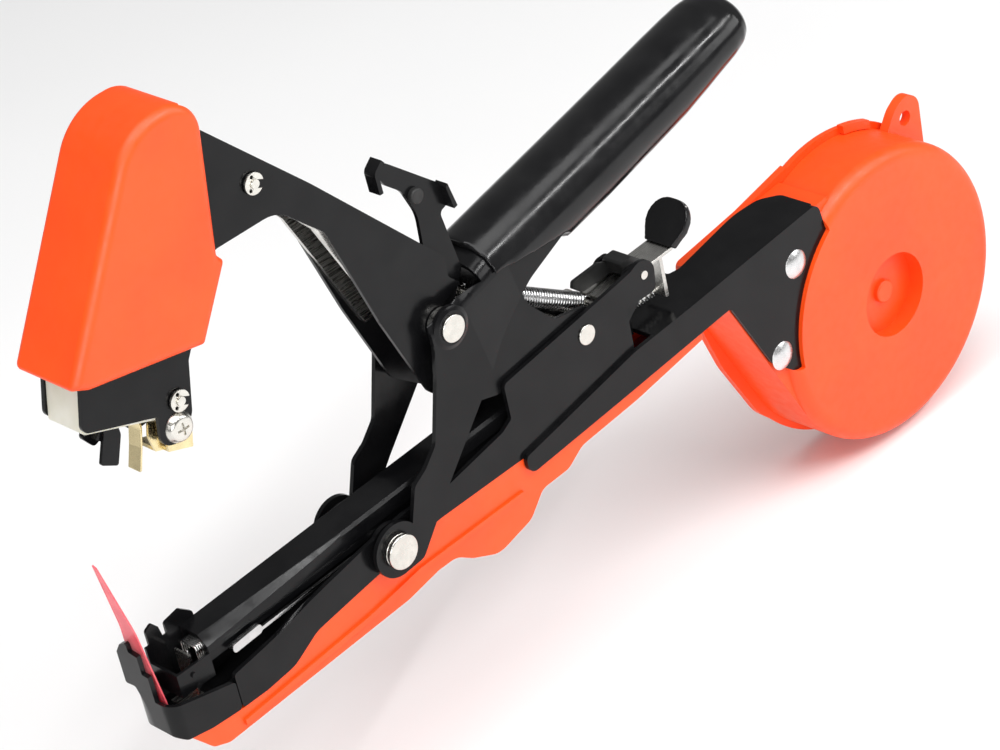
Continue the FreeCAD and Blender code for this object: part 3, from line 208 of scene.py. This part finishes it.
ALONG_X = (0.06, 1.0, 1.0)
EVEN = (1.0, 1.0, 1.0)
MATERIALS = {
    "black_paint": black_paint(),
    "orange_plastic": orange_plastic(),
    "black_vinyl": black_vinyl(),
    "black_plastic": black_plastic(),
    "cream_plastic": cream_plastic(),
    "grey_plastic": grey_plastic(),
    "bare_steel": metal("bare_steel", (0.62, 0.61, 0.58), 0.27, ALONG_X),
    "rivet_steel": metal("rivet_steel", (0.74, 0.74, 0.74), 0.3, EVEN),
    "nickel": metal("nickel", (0.70, 0.68, 0.63), 0.22, EVEN),
    "spring_steel": metal("spring_steel", (0.6, 0.6, 0.6), 0.2, ALONG_X),
    "copper_wire": metal("copper_wire", (0.72, 0.45, 0.28), 0.25, EVEN),
    "staple_wire": metal("staple_wire", (0.72, 0.72, 0.72), 0.18, EVEN),
    "brass": metal("brass", (0.82, 0.69, 0.40), 0.24, EVEN),
    "tape_film": tape_film(),
    "rubber": rubber(),
}


def dress_nodes():
    """Give every CAD node the material of its slot."""
    for part in frame["record"]["subparts"]:
        node = NODES[part["node"]]
        node.data.materials.clear()
        node.data.materials.append(MATERIALS[part["material_slot"]])


dress_nodes()

# ---------------------------------------------------------------- softened CAD nodes
EDGE = {"black_paint": 0.45, "orange_plastic": 0.5, "black_plastic": 0.4}    # bevel by slot, in mm
FINE_EDGE = 0.12                # bevel of every other slot, in mm
EDGE_STEPS, SHARP_DEG = 2, 40
WELD_MM = 0.001                 # vertices closer than this are one
SOFT_NODES = {"handle_grip": 0.5, "thumb_paddle": 0.3}    # voxel of each dipped piece, in mm
RELAX_SHARE, RELAX_STEPS = 0.5, 7
PLAIN_NODES = {"tape_end", "lead_tape", "pivot_coils"}    # thin film and fine wire keep their mesh


def soften(node, slot):
    """Round a node's edges: a fine bevel, or for dipped vinyl a voxel skin that is relaxed."""
    weld = node.modifiers.new("weld", "WELD")
    weld.merge_threshold = WELD_MM * MM
    if node.name in SOFT_NODES:
        skin = node.modifiers.new("skin", "REMESH")
        skin.mode = "VOXEL"
        skin.voxel_size = SOFT_NODES[node.name] * MM
        skin.use_smooth_shade = True
        relax = node.modifiers.new("relax", "SMOOTH")
        relax.factor = RELAX_SHARE
        relax.iterations = RELAX_STEPS
        return
    bevel = node.modifiers.new("bevel", "BEVEL")
    bevel.width = EDGE.get(slot, FINE_EDGE) * MM
    bevel.segments = EDGE_STEPS
    bevel.limit_method = "ANGLE"
    bevel.angle_limit = math.radians(SHARP_DEG)
    node.modifiers.new("normals", "WEIGHTED_NORMAL").keep_sharp = True


for part in frame["record"]["subparts"]:
    if part["node"] not in PLAIN_NODES:
        soften(NODES[part["node"]], part["material_slot"])


# ---------------------------------------------------------------- wire and its pieces
WIRE_SIDES = 8
COIL_STEPS = 18                 # points in one turn of a coil
LOOP_STEPS, LOOP_START_DEG, LOOP_SWEEP_DEG = 14, 60, 290
ACROSS = Vector((0, 1, 0))      # the pins that the loops hook on run along Y


def wire_mesh(builder, points, radius):
    """Round wire along points, added to a bmesh, with its frame carried along smoothly."""
    count = len(points)
    ahead = [(points[min(i + 1, count - 1)] - points[max(i - 1, 0)]).normalized()
             for i in range(count)]
    side = ahead[0].orthogonal().normalized()
    rings = []
    for point, direction in zip(points, ahead):
        side = (side - direction * side.dot(direction)).normalized()
        other = direction.cross(side)
        ring = []
        for k in range(WIRE_SIDES):
            t = math.tau * k / WIRE_SIDES
            out = side * math.cos(t) + other * math.sin(t)
            ring.append(builder.verts.new(point + out * radius * MM))
        rings.append(ring)
    for one, two in zip(rings, rings[1:]):
        for k in range(WIRE_SIDES):
            after = (k + 1) % WIRE_SIDES
            builder.faces.new((one[k], one[after], two[after], two[k]))
    builder.faces.new(list(reversed(rings[0])))
    builder.faces.new(rings[-1])


def make_piece(name, paths, radius, slot, *replaced):
    """Mesh object of one or more wires, dressed in its slot's material."""
    builder = bmesh.new()
    for points in paths:
        wire_mesh(builder, points, radius)
    for face in builder.faces:
        face.smooth = True
    bmesh.ops.recalc_face_normals(builder, faces=builder.faces)
    mesh = bpy.data.meshes.new(name)
    builder.to_mesh(mesh)
    builder.free()
    mesh.materials.append(MATERIALS[slot])
    piece = bpy.data.objects.new(name, mesh)
    bpy.context.scene.collection.objects.link(piece)
    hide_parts(*replaced)
    return piece


def helix(start, end, radius_a, radius_b, turns):
    """Points of a coil between two points; its radius runs from radius_a to radius_b, in mm."""
    axis = end - start
    ahead = axis.normalized()
    up = ahead.cross(ACROSS)
    points = []
    for i in range(turns * COIL_STEPS + 1):
        share = i / (turns * COIL_STEPS)
        turn = math.tau * i / COIL_STEPS
        radius = (radius_a + (radius_b - radius_a) * share) * MM
        out = ACROSS * math.cos(turn) + up * math.sin(turn)
        points.append(start + axis * share + out * radius)
    return points


def hook_loop(centre, toward, radius):
    """Open loop round a pin that runs along Y; its gap is on the side of toward."""
    ahead = (toward - centre).normalized()
    up = ahead.cross(ACROSS)
    sweep = math.radians(LOOP_SWEEP_DEG)
    points = []
    for i in range(LOOP_STEPS + 1):
        turn = math.radians(LOOP_START_DEG) + sweep * (i / LOOP_STEPS)
        points.append(centre + (ahead * math.cos(turn) + up * math.sin(turn)) * radius * MM)
    return points


SPRING_REAR, SPRING_FRONT = at(9.6, 0, 1.6), at(-30.0, 0, 27.6)
SPRING_TURNS, SPRING_WIRE, SPRING_RADIUS = 32, 0.46, 2.4
SPRING_BODY = 3.0, 36.0         # where its close coils begin and end, in mm from its rear pin
SPRING_LOOP = 1.75              # radius of the loop at each end
SPRING_LEAD_IN, SPRING_LEAD_OUT, SPRING_STRAIGHT = 0.9, 1.5, 3.0


def return_spring():
    """Closed coil between the frame and the arm, with a loop at each end."""
    along = (SPRING_FRONT - SPRING_REAR).normalized()
    near, far = (SPRING_REAR + along * distance * MM for distance in SPRING_BODY)
    coil = helix(near, far, SPRING_RADIUS, SPRING_RADIUS, SPRING_TURNS)
    rear = hook_loop(SPRING_REAR, near, SPRING_LOOP)
    front = hook_loop(SPRING_FRONT, far, SPRING_LOOP)
    path = rear + [near - along * SPRING_LEAD_IN * MM] + coil
    path += [far + along * SPRING_LEAD_OUT * MM, SPRING_FRONT - along * SPRING_STRAIGHT * MM]
    path += list(reversed(front))
    piece = make_piece("return_coil", [path], SPRING_WIRE, "spring_steel", "return_spring")
    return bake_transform(piece)


END_BAND, END_INSET = 1.0, 0.5  # how much of a node counts as its end, and where wire starts in it


def node_ends(node):
    """Middle points of a node's ends along X, in the row frame."""
    low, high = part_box(node)
    ends = []
    for x, side in ((low.x, 1), (high.x, -1)):
        ring = [v.co for v in NODES[node].data.vertices if abs(v.co.x - x) < END_BAND * MM]
        mid = sum(ring, Vector()) / len(ring)
        ends.append(Vector((x + side * END_INSET * MM, 0.0, mid.z)))
    return ends


PUSHER_RADIUS, PUSHER_TURNS, PUSHER_WIRE = 1.85, 38, 0.36
BUFFER_RADII, BUFFER_TURNS, BUFFER_WIRE = (0.95, 1.6), 7, 0.3


def magazine_springs():
    """Coil that drives the pusher, and the tapered buffer coil behind it."""
    start, end = node_ends("pusher_spring")
    path = helix(start, end, PUSHER_RADIUS, PUSHER_RADIUS, PUSHER_TURNS)
    coil = make_piece("pusher_coil", [path], PUSHER_WIRE, "spring_steel", "pusher_spring")
    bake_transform(coil)
    start, end = node_ends("buffer_spring")
    path = helix(start, end, *BUFFER_RADII, BUFFER_TURNS)
    buffer = make_piece("buffer_coil", [path], BUFFER_WIRE, "spring_steel", "buffer_spring")
    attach(buffer, "pusher")


STAPLE_PITCH, STAPLE_WIRE = 0.62, 0.27
MAGAZINE_SLOPE_DEG = 2.45
SHOULDER, BEND_IN, BEND_DOWN = (0.6, 0.5), 0.2, 0.14    # how the wire rounds a staple's shoulder


def staples():
    """Strip of separate staples, each bent from round wire."""
    low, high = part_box("staple_stick")
    inset = STAPLE_WIRE * MM
    rise = (high.x - low.x) * math.tan(math.radians(MAGAZINE_SLOPE_DEG))
    deep = high.z - low.z - rise
    count = int((high.x - low.x - 2 * inset) / (STAPLE_PITCH * MM))
    paths = []
    for i in range(count + 1):
        x = low.x + inset + i * STAPLE_PITCH * MM
        top = low.z + deep + (x - low.x) * rise / (high.x - low.x) - inset
        foot = top - deep + 2 * inset
        y0, y1 = low.y + inset, high.y - inset
        level, leg_top, bend = SHOULDER[0] * MM, top - SHOULDER[1] * MM, top - BEND_DOWN * MM
        corners = ((y0, foot), (y0, leg_top), (y0 + BEND_IN * MM, bend), (y0 + level, top),
                   (y1 - level, top), (y1 - BEND_IN * MM, bend), (y1, leg_top), (y1, foot))
        paths.append([Vector((x, y, z)) for y, z in corners])
    strip = make_piece("staple_strip", paths, STAPLE_WIRE, "staple_wire", "staple_stick")
    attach(strip, "magazine")


return_spring()
magazine_springs()
staples()


# ---------------------------------------------------------------- floor, light and camera
VIEW_AZIMUTH, VIEW_ELEVATION, VIEW_ROLL = 38.03, 31.43, 12.83
CAMERA_PLACE = at(-472.187, -573.590, 443.230)
LENS_MM, SENSOR_MM, NEAREST = 118.8, 36.0, 0.01


def look_matrix(azimuth, elevation, roll):
    """Rotation of a camera that looks along azimuth from +Y towards +X, and down by elevation."""
    a, e = math.radians(azimuth), math.radians(elevation)
    ahead = Vector((math.sin(a) * math.cos(e), math.cos(a) * math.cos(e), -math.sin(e)))
    turn = ahead.to_track_quat("-Z", "Y").to_matrix()
    return turn @ Matrix.Rotation(math.radians(-roll), 3, "Z")


def make_camera():
    """Camera at the photograph's viewing angle."""
    data = bpy.data.cameras.new("camera")
    data.lens = LENS_MM
    data.sensor_width = SENSOR_MM
    data.clip_start = NEAREST
    camera = bpy.data.objects.new("camera", data)
    camera.matrix_world = Matrix.Translation(CAMERA_PLACE) @ look_matrix(
        VIEW_AZIMUTH, VIEW_ELEVATION, VIEW_ROLL).to_4x4()
    bpy.context.scene.collection.objects.link(camera)
    bpy.context.scene.camera = camera


def area_light(name, place, width, height, watts):
    """Rectangular light that looks at AIM."""
    data = bpy.data.lights.new(name, "AREA")
    data.shape = "RECTANGLE"
    data.size, data.size_y = width, height
    data.energy = watts
    light = bpy.data.objects.new(name, data)
    light.location = place
    light.rotation_euler = (AIM - place).to_track_quat("-Z", "Y").to_euler()
    bpy.context.scene.collection.objects.link(light)


FLOOR_SIZE, FLOOR_HEIGHT = 12.0, -0.0005
WORLD_STRENGTH = 0.24
AIM = Vector((0, 0, 0.11))      # the lights look at the middle of the tool
# each light: name, place, width, height, watts
LIGHTS = (("top", (-0.25, -0.3, 1.5), 1.5, 1.2, 21.0),
          ("front", (-1.0, -0.9, 0.5), 0.9, 0.6, 8.0),
          ("right", (0.9, -0.8, 0.6), 0.8, 0.5, 5.0),
          ("strip", (0.30, -0.65, 0.90), 0.9, 0.035, 5.0))


def make_stage():
    """Pale floor, even surroundings and soft lights."""
    bpy.ops.mesh.primitive_plane_add(size=FLOOR_SIZE, location=(0, 0, FLOOR_HEIGHT))
    floor = bpy.context.object
    floor.name = "floor"
    s = Shader("floor", (0.86, 0.86, 0.86), 0.7)
    s.link(s.ramp(s.noise(300.0), (0.85, 0.85, 0.85), (0.88, 0.88, 0.88)), "Base Color")
    floor.data.materials.append(s.material)
    world = bpy.data.worlds.new("studio")
    world.use_nodes = True
    world.node_tree.nodes["Background"].inputs["Color"].default_value = (1.0, 1.0, 1.0, 1.0)
    world.node_tree.nodes["Background"].inputs["Strength"].default_value = WORLD_STRENGTH
    bpy.context.scene.world = world
    for name, place, width, height, watts in LIGHTS:
        area_light(name, Vector(place), width, height, watts)
    bpy.context.scene.view_settings.view_transform = "Standard"


make_camera()
make_stage()
